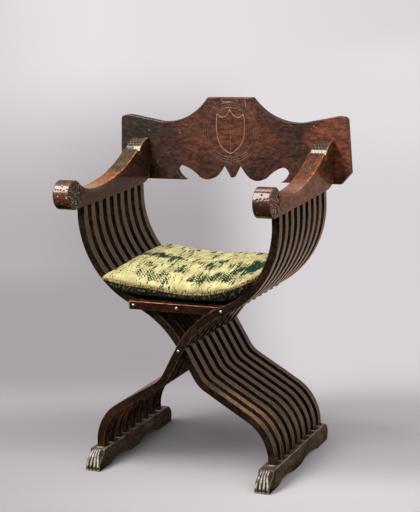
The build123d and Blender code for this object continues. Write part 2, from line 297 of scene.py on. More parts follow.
LEAN = radians(51)
ACROSS = (0, 0, radians(90))
ARM_LOOK = {"coat": 0.42, "turn": ACROSS, "blur": 0.1, "scar_and_highlight": (0.7, 0.6, 0.53), "level": 0.1,
            "mottle": 0.5, "flecks": 0.35, "polish": 0.58}
STAVE_LOOK = {"coat": 0.85, "roughness": 0.45, "blur": 0.13, "mottle": 0.45}
WOODS = {
    "board": wood(
        "walnut_board", (0.028, 0.01, 0.007), (0.064, 0.02, 0.012), (0.105, 0.032, 0.016),
        (0.15, 0.075, 0.042), 0.06, grime=(0.066, 0.053, 0.039), dirt=0.45, wear=0.6,
        scar_and_highlight=(0.55, 0.37, 0.28), glow=(0.19, 0.056, 0.025), dull=(0.024, 0.018, 0.012), level=0.1,
        mottle=0.5, flecks=0.5),
    "arm_right": wood(
        "walnut_arm_right", (0.046, 0.011, 0.005), (0.1, 0.023, 0.008), (0.155, 0.038, 0.012),
        (0.62, 0.2, 0.055), grime=(0.085, 0.05, 0.028), glow=(0.155, 0.038, 0.01),
        dull=(0.052, 0.034, 0.016), **ARM_LOOK),
    "arm_left": wood(
        "walnut_arm_left", (0.022, 0.008, 0.005), (0.044, 0.015, 0.009), (0.075, 0.024, 0.013),
        (0.6, 0.22, 0.075), grime=(0.05, 0.034, 0.026), glow=(0.33, 0.095, 0.025),
        dull=(0.07, 0.05, 0.024), **ARM_LOOK),
    # The slats' worn edges are a bright salmon: wear, lightened further as a painted edge highlight
    "slat": wood(
        "walnut_slat", (0.012, 0.0035, 0.002), (0.028, 0.0075, 0.0035), (0.052, 0.014, 0.006),
        (0.66, 0.27, 0.13), 0.05, roughness=0.46, dirt=0.08, wear=1, flecks=0.1),
    "right": wood(
        "walnut_right_staves", (0.008, 0.0045, 0.0025), (0.018, 0.009, 0.005), (0.036, 0.016, 0.007),
        (0.16, 0.07, 0.034), turn=(0, LEAN, 0), grime=(0.032, 0.024, 0.017), **STAVE_LOOK),
    "left": wood(
        "walnut_left_staves", (0.009, 0.005, 0.003), (0.021, 0.0115, 0.0065), (0.038, 0.019, 0.01),
        (0.18, 0.09, 0.05), turn=(0, -LEAN, 0), grime=(0.04, 0.031, 0.021),
        dirt=0.35, glow=(0.2, 0.085, 0.036), **STAVE_LOOK),
    "runner": wood(
        "walnut_runner", (0.032, 0.021, 0.014), (0.066, 0.043, 0.028), (0.104, 0.067, 0.041),
        (0.3, 0.25, 0.18), 0.12, ACROSS, grime=(0.09, 0.076, 0.056), dirt=0.5,
        scar_and_highlight=(0.62, 0.56, 0.44), level=0.2, mottle=0.55, flecks=0.7),
}
VELVET = velvet()
# Worn iron with a little rust, and a cord of tan and old gold
STEEL = spotted("steel", 700, 4, 0.42, 0.66, (0.62, 0.55, 0.47), (0.3, 0.22, 0.16), (0.34, 0.4, 0.0003),
                ("Metallic", 0.85))
BRAID = spotted("braid", 230, 3, 0.44, 0.56, (0.11, 0.055, 0.022), (0.66, 0.47, 0.19), (0.8, 0.5, 0.0008),
                ("Sheen Weight", 0.03), ("Specular IOR Level", 0.1))


# Rigid pieces, rebuilt from the outlines of the CAD nodes with worn edges and carving

SHARP_ANGLE = 0.35


def flat_of(place, axis):
    """A place without its part along an axis."""
    return Vector([c for i, c in enumerate(place) if i != axis])


def joined(axis, along, flat):
    """A point from its place along the axis and its place in the plane across it."""
    rest = list(flat)
    return Vector([along if i == axis else rest.pop(0) for i in range(3)])


def outline_of(node, axis):
    """The outer outline of a node's high face along an axis, as points in the two other axes."""
    mesh = bmesh.new()
    mesh.from_mesh(frame["nodes"][node].data)
    bmesh.ops.remove_doubles(mesh, verts=mesh.verts, dist=1e-6)
    top = max(v.co[axis] for v in mesh.verts)
    flat = [f for f in mesh.faces if all(abs(v.co[axis] - top) < 1e-5 for v in f.verts)]
    chosen = set(flat)
    following = {}
    for face in flat:
        for loop in face.loops:
            if sum(f in chosen for f in loop.edge.link_faces) == 1:
                following[loop.vert] = loop.link_loop_next.vert
    rings = []
    while following:
        ring, vert = [], next(iter(following))
        while vert in following:
            ring.append(vert.co.copy())
            vert = following.pop(vert)
        rings.append(ring)
    mesh.free()
    longest = max(rings, key=lambda r: sum((a - b).length for a, b in zip(r, r[1:] + r[:1])))
    return [flat_of(p, axis) for p in longest]


def resample(ring, step):
    """A closed outline in steps of about a length or length(point), with smooth curves between its corners."""
    after = ring[1:] + ring[:1]
    sharp = [(p - ring[i - 1]).angle(after[i] - p) > SHARP_ANGLE for i, p in enumerate(ring)]
    result = []
    for i, (a, b) in enumerate(zip(ring, after)):
        length = (b - a).length
        following = (i + 1) % len(ring)
        way_a = (b - a if sharp[i] else b - ring[i - 1]).normalized() * length
        way_b = (b - a if sharp[following] else after[following] - a).normalized() * length
        steps = max(1, round(length / (step((a + b) / 2) if callable(step) else step)))
        for t in [k / steps for k in range(steps)]:
            result.append(a * (2 * t**3 - 3 * t**2 + 1) + way_a * (t**3 - 2 * t**2 + t)
                          + b * (3 * t**2 - 2 * t**3) + way_b * (t**3 - t**2))
    return result


def offsets(points):
    """The outward direction at each point of a closed outline, longer at corners."""
    after = points[1:] + points[:1]
    area = sum(points[i - 1].x * p.y - p.x * points[i - 1].y for i, p in enumerate(points))
    hand = 1 if area > 0 else -1
    result = []
    for i, p in enumerate(points):
        ways = [(p - points[i - 1]).normalized(), (after[i] - p).normalized()]
        first, second = [Vector((way.y, -way.x)) * hand for way in ways]
        middle = (first + second).normalized()
        result.append(middle / max(0.5, middle.dot(first)))
    return result


def array(points):
    return numpy.array([tuple(p) for p in points])


def crossed(a, b):
    return a[..., 0] * b[..., 1] - a[..., 1] * b[..., 0]


def span_inward(points, out):
    """How thick the outline is behind each of its points."""
    ring = array(points)
    edge = numpy.roll(ring, -1, axis=0) - ring
    result = []
    for p, n in zip(points, out):
        into = -numpy.array(tuple(n.normalized()))
        start = ring - numpy.array(tuple(p))
        cross = crossed(into, edge)
        cross[abs(cross) < 1e-12] = 1e-12
        along, share = crossed(start, edge) / cross, crossed(start, into) / cross
        hits = along[(share >= 0) & (share <= 1) & (along > 1e-5)]
        result.append(float(hits.min()) if len(hits) else 1)
    return result


def inside(points, ring):
    """Which of the points lie inside a closed outline."""
    points = numpy.array(points)
    count = numpy.zeros(len(points), dtype=int)
    for (ax, ay), (bx, by) in zip(ring, numpy.roll(ring, -1, axis=0)):
        if ay != by:
            level = (points[:, 1] < ay) != (points[:, 1] < by)
            count += level & (points[:, 0] < ax + (points[:, 1] - ay) * (bx - ax) / (by - ay))
    return count % 2 == 1


def away(point, starts, ends):
    """Distance from a point to the nearest of many straight lines."""
    edge = ends - starts
    offset = numpy.array(tuple(point)) - starts
    share = (offset * edge).sum(axis=1) / numpy.maximum((edge * edge).sum(axis=1), 1e-18)
    gap = offset - edge * numpy.clip(share, 0, 1)[:, None]
    return float(numpy.sqrt((gap * gap).sum(axis=1)).min())


def new_mesh(*layers):
    """An empty mesh and its vertex layers."""
    mesh = bmesh.new()
    for layer in layers:
        mesh.verts.layers.float.new(layer)
    return [mesh] + [mesh.verts.layers.float[layer] for layer in layers]


def loft(mesh, rings, soft=True):
    """Faces between closed rings of vertices. The last ring may be a single vertex."""
    for a, b in zip(rings, rings[1:]):
        for i in range(len(a)):
            corners = (a[i - 1], a[i], b[0]) if len(b) == 1 else (a[i - 1], a[i], b[i], b[i - 1])
            mesh.faces.new(corners).smooth = soft


def cap(mesh, ring, axis, grid, cut, drawn=(), edges=(), shape=None, hole=None):
    """Fills a ring of vertices with triangles, with a grid of points and drawn lines between them."""
    place = sum(v.co[axis] for v in ring) / len(ring)
    flat = [flat_of(v.co, axis) for v in ring]
    loop = array(flat)
    low, high = loop.min(axis=0), loop.max(axis=0)
    columns, rows = ((high - low) / grid).astype(int)
    free = [(low[0] + (i + 0.5 * (j % 2)) * grid, low[1] + j * grid)
            for i in range(1, columns + 1) for j in range(1, rows + 1)]
    free = [p for p, kept in zip(free, inside(free, loop)) if kept]
    free = [p for p in free if away(p, loop, numpy.roll(loop, -1, axis=0)) > 0.5 * grid]
    if drawn:
        marks = array(drawn)
        free = [p for p in free if numpy.hypot(*(marks - p).T).min() > 0.4 * grid]
    centre, reach, made = hole or ((0, 0), 0, [])
    if hole:
        free = [p for p in free if dist(p, centre) > reach + 0.4 * grid]
    count = len(ring)
    points = flat + [Vector(p) for p in drawn] + [Vector(p) for p in free]
    start = len(points)
    points += [flat_of(v.co, axis) for v in made]
    edges = [(a + count, b + count) for a, b in edges]
    edges += [(start + i, start + (i + 1) % len(made)) for i in range(len(made))]
    found = geometry.delaunay_2d_cdt(points, edges, [list(range(count))], 1, 1e-7)
    verts = []
    for p, origin in zip(found[0], found[3]):
        known = [ring[i] for i in origin if i < count] + [made[i - start] for i in origin if i >= start]
        if not known:
            known.append(mesh.verts.new(joined(axis, place, p)))
            if shape:
                known[0].co, known[0][cut] = shape(known[0].co)
        verts.append(known[0])
    for face in found[2]:
        middle = sum((found[0][i] for i in face), Vector((0, 0))) / len(face)
        corners = [verts[i] for i in face]
        in_hole = hole and dist(middle, centre) < reach * 0.9995
        if not in_hole and len(set(corners)) == 3 and not mesh.faces.get(corners):
            mesh.faces.new(corners)


def rim(mesh, points, axis, low, high, radius, columns, relief, cut, edge):
    """The rounded rim of a piece, as rows of vertices from its high side to its low side."""
    out = offsets(points)
    reach = [min(radius, 0.3 * span) for span in span_inward(points, out)]
    after = points[1:] + points[:1]
    corner = [0.7 * smooth(0.25, 0.6, (p - points[i - 1]).angle(after[i] - p)) for i, p in enumerate(points)]
    turns = [radians(d) for d in (0, 22.5, 45, 67.5)]
    rows = [(high - radius * (1 - cos(a)), 1 - sin(a), min(1, 3 * a)) for a in turns]
    rows.append((high - radius, 0, 0.6))
    inner = radius + 0.0014
    flat_rows = [(mix(high - inner, low + inner, t), 0, 0) for t in shares(columns)]
    rows += flat_rows + [(low + high - place, inset, wear) for place, inset, wear in reversed(rows)]
    rings = []
    for place, inset, wear in rows:
        ring = []
        for p, n, far, sharp in zip(points, out, reach, corner):
            there = joined(axis, place, p - n * inset * far)
            across = joined(axis, 0, n.normalized())
            lift, light = relief(there, across)
            vert = mesh.verts.new(there + across * lift)
            vert[cut] = light
            vert[edge] = max(wear, sharp)
            ring.append(vert)
        rings.append(ring)
    loft(mesh, rings)
    return rings


def new_object(name, data):
    made = bpy.data.objects.new(name, data)
    bpy.context.scene.collection.objects.link(made)
    return made


def finish_piece(name, mesh, closed=True):
    if closed:
        bmesh.ops.recalc_face_normals(mesh, faces=mesh.faces)
    data = bpy.data.meshes.new(name)
    mesh.to_mesh(data)
    mesh.free()
    return new_object(name, data)


def extruded(node, axis, step, radius, columns, relief, grid=None, caps=None, reshape=None):
    """A piece with the node's outline across the axis, rounded edges and a relief on its rim."""
    low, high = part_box(node)
    ring = outline_of(node, axis)
    points = resample(reshape(ring) if reshape else ring, step)
    mesh, cut, edge = new_mesh("cut", "edge")
    rings = rim(mesh, points, axis, low[axis], high[axis], radius, columns, relief, cut, edge)
    for ring, hand in ((rings[0], 1), (rings[-1], -1)):
        if grid:
            cap(mesh, ring, axis, grid, cut, **(caps(mesh, hand, cut) if caps else {}))
        else:
            mesh.faces.new(ring)
        for i in range(len(ring)):
            mesh.edges.get((ring[i - 1], ring[i])).smooth = False
    return finish_piece(node + "_wood", mesh)


def mark(piece, name, rule):
    """Gives each vertex a value by rule(place in mm, normal). For the warmth, above 0 is warmer, below 0
    duller; on the arms and staves this stands partly for painted light and shade.
    """
    layer = piece.data.attributes.new(name, "FLOAT", "POINT")
    for vert, item in zip(piece.data.vertices, layer.data):
        item.value = rule(vert.co * 1000, vert.normal)


def fade_edges(piece, rule):
    """Scales how worn the edges are by rule(place in mm, normal)."""
    for vert, item in zip(piece.data.vertices, piece.data.attributes["edge"].data):
        item.value *= rule(vert.co * 1000, vert.normal)


def patches(place, spots):
    """The sum of soft round patches (x, y, z, reach, amount) at a place, all in mm."""
    return sum(amount * dot((place - Vector(middle)).length, reach) for *middle, reach, amount in spots)


def dress(piece, material, body):
    piece.data.materials.append(material)
    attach(piece, body)


def settle(piece, node, material):
    """Puts a rebuilt piece in the place of its node."""
    dress(piece, material, BODY_OF[node])
    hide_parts(node)


def worn(there, out):
    """Small unevenness of old hand-cut edges, always inside the true size."""
    return -0.0003 - 0.0002 * wobble(there, 38) - 0.0001 * wobble(there, 130, 3), 0


# Staves and slats

# Patches of warmer colour on the staves' sides, in mm as x, y, z, reach, amount: painted light
STAVE_LIT_PATCHES = [(140, -125, 175, 75, 1.5), (185, -85, 150, 55, 0.8), (-120, -125, 175, 80, 0.3)]
# Above this height the slats' edges are worn and lightened as a painted edge highlight
SLAT_ENDS = 440  # mm above the floor, where the slats' edges are worn


def bars(kind):
    for side, number in product(SIDES, NUMBERS):
        node = "%s_%s_%d" % (kind, side, number)
        piece = extruded(node, 1, 0.006, 0.0014, 3, worn)
        if kind == "stave":
            # Only the staves' side faces take the patches: painted light
            mark(piece, "warmth_and_light", lambda place, normal: (
                patches(place, STAVE_LIT_PATCHES) * (1 - smooth(0.1, 0.4, abs(normal.y)))))
        else:
            fade_edges(piece, lambda place, normal: 1 if place.z > SLAT_ENDS else 0.15)
        settle(piece, node, WOODS[side if kind == "stave" else "slat"])


# Arms: scrolls with punched dots and rosettes, and pads with rows of scales

ARM_MIDDLE = 0.268
SCROLL = (-0.1995, 0.7245)
SCROLL_END = -158  # mm, the back of the scrolls
SCROLL_DOTS = {
    "left": [(-8, 27.7), (0.6, 27), (9.5, 24.7), (1.9, 43.1), (18.6, 31.2), (-15.5, 29)],
    "right": [(-9.2, 18.7), (-0.6, 21), (9.3, 21.5), (1.2, 38), (17, 23)],
}
SCROLL_FLECKS = {
    "left": [(-7, 3), (1.5, -28), (17.5, -2), (19, -38)],
    "right": [(0, 1.5), (19.5, 9), (-12, -30)],
}
PER_DEGREE = 0.654  # mm on the scroll's round
DISC = 0.0343  # radius of the carved discs
SCALE_START, SCALE_PITCH, SCALE_WIDTH = 163, 8.2, 9
SWEEP_ROSETTE = 0.084
PETALS, PETAL_RING = 8, 9.5


def arm_relief(side):
    middle = ARM_MIDDLE * SIDES[side]
    right = side == "right"

    def relief(there, out):
        across = (there.x - middle) * 1000
        y, z = there.y, there.z
        lift, light = worn(there, out)
        if dist((y, z), SCROLL) < 0.042 and y < -0.165:
            turn = degrees(atan2(z - SCROLL[1], SCROLL[0] - y))
            kinds = ((SCROLL_DOTS, 2.3, 0.0016, -1.4), (SCROLL_FLECKS, 1.9, 0.0005, 1.6))
            for spots, reach, deep, tone in kinds:
                for x, angle in spots[side]:
                    hollow = dot(hypot(across - x, (turn - angle) * PER_DEGREE), reach)
                    lift -= deep * hollow
                    light += tone * hollow
            # Painted shade: the lower front of each scroll is darkened towards black
            shaded_low_part = 1 - (smooth(6, 18, turn) if right else smooth(-46, -14, turn))
            light -= (0.7 if right else 0.85) * shaded_low_part * smooth(0.1, 0.4, -out.y)
            groove = dot((turn - (56 if right else 72)) * PER_DEGREE, 2)
            lift -= (0.0011 if right else 0.0004) * groove
            if right:
                light += 0.5 * dot((turn - 64) * PER_DEGREE, 2.2) - 0.5 * groove
        if y > 0.15 and z > 0.78 and out.z > 0.2:
            rows = (y * 1000 - SCALE_START) / SCALE_PITCH
            row = round(rows)
            if 0 <= row <= 6:
                column = across / SCALE_WIDTH + 0.5 * (row % 2)
                aside = (column - round(column)) * SCALE_WIDTH
                hollow = dot(hypot(aside, (rows - row) * SCALE_PITCH), 3.3) if abs(across) < 20 else 0
                lift -= 0.0015 * hollow
                light -= 0.9 * hollow
                light += 0.3 * dot(hypot(aside, (rows - row - 0.42) * SCALE_PITCH), 2)
            # The pad's front lip is painted white: partly pale wear, partly a painted highlight
            lip_wear_and_highlight = (1 - smooth(0.164, 0.1685, y)) * smooth(0.1555, 0.157, y) * (abs(across) < 21)
            light += lip_wear_and_highlight * (1.2 if right else mix(0.35, 1.2, smooth(-4, 6, across)))
        # A lighter band across the upper faces of each arm's sweep: a painted highlight
        if y > -0.155 and out.z > 0.4:
            light += 0.17 * exp(-((y + (0.035 if right else 0.095)) / 0.04) ** 2)
        if 0.06 < y < 0.11 and out.z > 0.4:
            along = (y - SWEEP_ROSETTE) * 1250
            for k in range(PETALS + 1):
                turn = ROUND * k / PETALS
                reach = PETAL_RING if k < PETALS else 0
                hollow = dot(hypot(across - reach * cos(turn), along - reach * sin(turn)), 2.4)
                lift -= 0.001 * hollow
                light -= 0.7 * hollow
                light += 0.7 * dot(hypot(across - reach * 0.8 * cos(turn + 0.35),
                                         along - reach * 0.8 * sin(turn + 0.35)), 1.6)
        return lift, light
    return relief


def rosette(r, turn, seed):
    """Depth in mm and lightness of the carved disc on a scroll's side, by radius in mm and angle."""
    leaf = abs(sin(4 * turn + 0.35 * sin(r * 0.3) + seed))
    window = smooth(8.5, 11, r) * (1 - smooth(24, 27.5, r))
    depth = 2 * window * (1 - leaf) ** 0.7 + 0.5 * window
    depth += 1.6 * dot(r - 28.6, 1.6) + 1.1 * dot(r - 8, 1.5) + 3.2 * dot(r, 2.6)
    chips = noise.noise(Vector((r * cos(turn), r * sin(turn), seed)) * 0.42)
    light = 0.9 * smooth(0.32, 0.55, chips) * smooth(5, 10, r) - 0.35 * window * (1 - leaf)
    light += 0.12 * smooth(0.75, 0.95, leaf) * window - 0.9 * dot(r, 2.8) + 0.3 * dot(r - 4, 1.6)
    return depth + 0.5 * chips * window, light


def scroll_disc(mesh, x, hand, cut, sides=96, steps=26):
    """A carved round in the side of a scroll. Gives back the vertices of its edge."""
    rings = []
    for k in range(steps + 1):
        r = DISC * (1 - k / steps)
        ring = []
        for turn in all_round(sides if k < steps else 1):
            depth, light = rosette(r * 1000, turn, hand) if k else (0, 0)
            y, z = SCROLL[0] + r * cos(turn), SCROLL[1] + r * sin(turn)
            ring.append(mesh.verts.new((x - hand * depth * MM, y, z)))
            ring[-1][cut] = light
        rings.append(ring)
    loft(mesh, rings, soft=False)
    return rings[0]


def arm_warmth_and_light(place, normal, side):
    """Orange on the tops and duller sides, partly polish and partly painted light by the way a face turns;
    olive dirt on the left top, the rosettes and the pads.
    """
    right = side == "right"
    # Upward faces are painted warmer and sides duller, and the right arm's outer side lighter than the left
    # arm's inner side: painted light and shade over partly real polish
    above = smooth(0.25, 0.55, normal.z)
    pad = smooth(150, 160, place.y) * smooth(780, 790, place.z) * above
    if place.y < SCROLL_END:
        front = 0 if right else smooth(0.2, 0.6, -normal.y)
        return 0.3 * front - 0.15 * smooth(0.6, 0.9, abs(normal.x))
    drift = 22 * noise.noise(place * 0.03)
    if right:
        spot = hypot(place.x - 264, 0.7 * (place.y - 90))
        top = 0.85 - 1.7 * dot(spot, 24) - 1.3 * smooth(108, 145, place.y + drift)
        top += 0.7 * smooth(274, 284, place.x)
        beside = 0.5 - 0.9 * smooth(90, 190, place.y)
    else:
        top = 0.8 - 1.5 * smooth(15, 95, place.y + drift)
        beside = -0.25 * smooth(100, 200, place.y)
    return mix(beside, top, above) * (1 - pad) - 0.9 * pad


def arms():
    for side in SIDES:
        node = "arm_" + side
        low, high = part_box(node)
        middle = (low.x + high.x) * 500

        def caps(mesh, hand, cut):
            x = high.x if hand > 0 else low.x
            return {"hole": (SCROLL, DISC, scroll_disc(mesh, x, hand, cut))}

        def step(p):
            fine = dist(p, SCROLL) < 0.045 or (p.x > 0.14 and p.y > 0.78) or (0.06 < p.x < 0.11 and p.y > 0.74)
            return 0.0013 if fine else 0.004

        def wear(place, normal):
            outer_top = place.x > middle and normal.z > -0.2 and place.z > 700
            return (0.35 if place.y < SCROLL_END else 1) * (1 if outer_top else 0.2)

        piece = extruded(node, 0, step, 0.0022, 34, arm_relief(side), 0.012, caps)
        mark(piece, "warmth_and_light", lambda place, normal: arm_warmth_and_light(place, normal, side))
        fade_edges(piece, wear)
        mark(piece, "polish", lambda place, normal: smooth(-185, -200, place.y) * smooth(0.35, 0.75, -normal.y))
        settle(piece, node, WOODS["arm_" + side])


# Runners, with paws of four toes

RUNNER_MIDDLE = 0.237
PAW_CURVE = [
    (-173, 50.7), (-181, 47.5), (-188.5, 42), (-195, 34), (-200, 25), (-203.5, 15), (-205, 5), (-204, 0)]
TOE = 10.25  # mm across
# Painted glints, as pale marks on the runners' tops before the other side's staves: how far before, reach,
# place and reach across, lightness
FIRST_GLINT, NEXT_GLINTS = (5, 2.6, 0, 12, 1.5), (3.5, 2.2, 12, 7.5, 1.4)


def paw_outline(ring):
    """The runner's outline with its square front replaced by the round of the paw."""
    kept = [p for p in ring if p.x > -0.1715]
    gap = max(range(len(kept)), key=lambda i: (kept[i] - kept[i - 1]).length
              if min(kept[i].x, kept[i - 1].x) < -0.12 else 0)
    curve = [Vector(p) * MM for p in PAW_CURVE]
    upper_first = kept[gap - 1].y > kept[gap].y
    return kept[:gap] + (curve if upper_first else curve[::-1]) + kept[gap:]


def paw_relief(side):
    middle = RUNNER_MIDDLE * SIDES[side]
    other = "left" if side == "right" else "right"
    fronts = sorted(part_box("stave_%s_%d" % (other, k))[0].y * 1000 for k in NUMBERS)

    def relief(there, out):
        lift, light = worn(there, out)
        across = (there.x - middle) * 1000
        z = there.z * 1000
        zone = 1 - smooth(-0.1775, -0.1725, there.y)
        if zone > 0 and out.y <= 0.05:
            fan = across / mix(1, 0.62, smooth(12, 50, z))
            toe = abs((fan / TOE) % 1 * 2 - 1) if abs(fan) <= 2 * TOE else 1
            valley = 1 - sqrt(max(0, 1 - toe * toe))
            deep = mix(5.5, 2.4, smooth(10, 34, z)) * smooth(-1, 2.5, z)
            tip = 0.9 * smooth(7, 11, z) * (1 - smooth(13, 19, z))
            outer = 8 * smooth(19, 31, abs(fan)) * smooth(14, 36, z)
            lift += zone * MM * (tip * (1 - valley) - deep * valley - outer)
            rough = wobble((there.x, there.y, 0.4 * there.z), 150, 5)
            # Painted light and shade on the toes: pale ridges, partly wear and partly a painted highlight, and
            # painted shade down the valleys between them
            ridge_highlight = (1 - smooth(0.03, 0.24, valley)) * smooth(9, 16, z)
            ridge_highlight *= mix(0.45, 1.1, smooth(-0.25, 0.3, wobble((there.x, there.y, 0.5 * there.z), 330, 9)))
            light += zone * (ridge_highlight * smooth(-0.6, 0.1, rough) - 0.5 * smooth(0.2, 0.6, valley) -
                             0.8 * smooth(0.3, 0.9, valley) * (1 - smooth(10, 22, z)))
            light += 0.8 * zone * dot(z - 3, 2.5) * (1 - valley)
        # Painted glints on the runner's top just before each stave of the other side
        if out.z > 0.7:
            for k, front in enumerate(fronts):
                before, deep, aside, wide, tone = NEXT_GLINTS if k else FIRST_GLINT
                light += tone * dot(there.y * 1000 - front + before, deep) * dot(across - aside, wide)
        return lift, light
    return relief


def runners():
    for side in SIDES:
        node = "runner_" + side
        piece = extruded(node, 0, lambda p: 0.0012 if p.x < -0.16 else 0.004, 0.0016, 42,
                         paw_relief(side), 0.012, None, paw_outline)
        settle(piece, node, WOODS["runner"])


# Back board, with its incised shield, rings, scratches and chips, all in mm

SHIELD = [
    (-38.5, 887.3), (-31, 880.3), (-22.5, 877.8), (-14.5, 880), (-8.5, 885.1), (-4, 891.5), (-0.5, 898.8),
    (3.5, 891.5), (8.5, 885.1), (14.5, 880), (22, 877.3), (31, 880.3), (38.5, 887.3), (40.6, 875), (41.4, 860),
    (41, 843), (38.3, 826), (33.5, 811.5), (26, 800.5), (17.5, 792.3), (7.5, 785), (-1.5, 779.8), (-12, 785.6),
    (-22, 792.3), (-29.5, 800.5), (-34.8, 811), (-39.3, 828), (-41, 846), (-40.8, 862), (-39.8, 876)]
RING_HEIGHT = 837.5
RINGS = [(67, 0.26), (73.5, 0.17), (80, 0.22)]
RING_PARTS = [(-12, 62), (66, 118), (121, 201), (206, 263), (277, 346)]
LINES = [([(-0.8, 876), (-0.4, 840), (-0.8, 806), (-0.5, 783.5)], 1.8, 0.4, 0.35),
         ([(-0.8, 776), (-0.4, 765), (-0.7, 750)], 1.8, 0.4, 0.45),
         ([(-24.3, 926.3), (-23.5, 921.5), (-20.5, 919.4), (-8, 919), (1.7, 919.8)], 2, 0.5, 0.8),
         ([(45.6, 927.5), (44.4, 921), (46, 914), (45.2, 905)], 2.8, 1.2, 1),
         ([(50, 926.5), (49.4, 920)], 1.6, 0.6, -0.9)]
CHIPS = [(-244.1, 840, 2.4), (-152.5, 841.3, 1.7), (-149.7, 834.5, 1.9), (-130.8, 855.2, 1.8), (171.2, 859, 2),
         (176, 856.5, 1.5), (237.9, 857.2, 2.6), (243.5, 853, 1.7), (230.5, 849.5, 1.4), (65.8, 748, 1.5),
         (-188.7, 777.5, 1.9), (-183, 781.5, 1.4), (-196, 779, 1.3), (-62, 921, 1.6), (88, 893, 1.7),
         (95.5, 886.5, 1.3), (71.5, 897, 1.5), (-222, 752, 2), (-214, 741.5, 1.6), (132, 770, 1.2),
         (-60, 862.5, 1.3), (190, 802, 1.3), (262, 841, 1.8), (300, 868, 1.6), (-290, 801, 1.5)]
BOARD_FACE = 215
BOARD_PATCHES = [(0, 838, 120, 0.6), (-125, 850, 60, 0.5), (110, 800, 60, 0.25), (272, 813, 75, 1.6),
                 (318, 835, 75, 1.5), (305, 770, 70, 1), (-300, 820, 80, -1.3), (-235, 850, 60, -0.8),
                 (-200, 745, 60, -0.5), (160, 800, 60, -0.2), (200, 760, 60, -0.4), (235, 868, 55, -0.2),
                 (180, 860, 50, -0.2), (90, 890, 40, -0.2)]


def groove_lines():
    """Drawn lines as (points, width, depth, lightness), in mm on the board's face."""
    lines = [(SHIELD + SHIELD[:1], 3, 1.1, 1)]
    for (radius, light), (first, last) in product(RINGS, RING_PARTS):
        turns = [radians(mix(first, last, t)) for t in shares(max(2, round((last - first) / 4)) + 1)]
        lines.append(([(radius * cos(a), RING_HEIGHT + radius * sin(a)) for a in turns], 1.8, 0.4, light))
    return lines + LINES


def drawing():
    """Points and edges of the grooves and chips, and a function for the depth and lightness at a point."""
    points, edges, strokes = [], [], []
    for line, width, depth, light in groove_lines():
        line = [Vector(p) for p in line]
        fine = [line[0]]
        for a, b in zip(line, line[1:]):
            steps = max(1, round((b - a).length / 5))
            fine += [a.lerp(b, (k + 1) / steps) for k in range(steps)]
        first = len(points)
        for i, p in enumerate(fine):
            way = (fine[min(i + 1, len(fine) - 1)] - fine[max(i - 1, 0)]).normalized()
            side = Vector((-way.y, way.x)) * width / 2
            points += [(p + side) * MM, p * MM, (p - side) * MM]
        edges += [(k, k + 3) for k in range(first, len(points) - 3)]
        ring = array(p * MM for p in fine)
        strokes.append((ring[:-1], ring[1:], width * MM / 2, depth * MM, light))
    for x, z, r in CHIPS:
        middle = Vector((x, z)) * MM
        points.append(middle)
        for share in (0.45, 1.05, 1.5):
            for k, turn in enumerate(all_round(8)):
                reach = r * MM * share * (1 + 0.3 * noise.noise(Vector((x, z, k))))
                points.append(middle + Vector((cos(turn), 0.8 * sin(turn))) * reach)
        start = array([middle])
        strokes.append((start, start + 1e-6, r * MM * 0.72, 0.0004, 1))

    def marked(p):
        depth, light = 0, 0
        for starts, ends, half, deep, tone in strokes:
            share = 1 - away(p, starts, ends) / half
            if share > 0:
                depth = max(depth, deep * share)
                light = tone * min(1, 1.6 * share) if abs(tone) * share > abs(light) else light
        return depth, light
    return points, edges, marked


def back_board():
    points, edges, marked = drawing()

    def carve(there):
        depth, light = marked((there.x, there.z))
        return there + Vector((0, depth, 0)), light

    def caps(mesh, hand, cut):
        return {"drawn": points, "edges": edges, "shape": carve} if hand < 0 else {}

    piece = extruded("back_board", 1, 0.003, 0.0018, 6, worn, 0.02, caps)
    spots = [(x, BOARD_FACE, z, reach, amount) for x, z, reach, amount in BOARD_PATCHES]
    mark(piece, "warmth_and_light", lambda place, normal: patches(place, spots))
    settle(piece, "back_board", WOODS["board"])
    repaint("board_key", WOODS["board"])


def repaint(name, material):
    """Gives a CAD node that stays as it is its material."""
    materials = frame["nodes"][name].data.materials
    materials.clear()
    materials.append(material)


def rods():
    for name in ("pivot_rod", "left_seat_rod", "right_seat_rod", "centre_seat_rod"):
        repaint(name, STEEL)
        low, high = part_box(name)
        middle = (low + high) / 2
        for end, hand, face in (("front", -1, low.y), ("rear", 1, high.y)):
            head = rivet(name + "_" + end + "_head", Vector((middle.x, face, middle.z)), hand)
            dress(head, STEEL, BODY_OF[name])


def rivet(name, place, hand, radius=0.0041, rise=0.002, sides=24):
    """A hammered round head on a rod's end, a little proud of the wood."""
    mesh = bmesh.new()
    profile = [(radius * cos(a), rise * sin(a)) for a in map(radians, (0, 18, 36, 54, 72))]
    rings = []
    for r, lift in [(radius, -0.0007)] + profile:
        ring = []
        for turn in all_round(sides):
            uneven = 1 + 0.06 * wobble((cos(turn), sin(turn), place.x), 2, place.z)
            across, up = r * uneven * cos(turn), r * uneven * sin(turn)
            ring.append(mesh.verts.new(place + Vector((across, hand * lift, up))))
        rings.append(ring)
    loft(mesh, rings)
    for ring in (rings[0], rings[-1]):
        mesh.faces.new(ring).smooth = True
    return finish_piece(name, mesh)


# Cushion

STAVE_INSIDE = [(118, 451.5), (128.4, 455), (138.5, 460), (155.8, 470), (170.1, 480), (182.5, 490),
                (193.2, 500), (202.6, 510), (211, 520)]
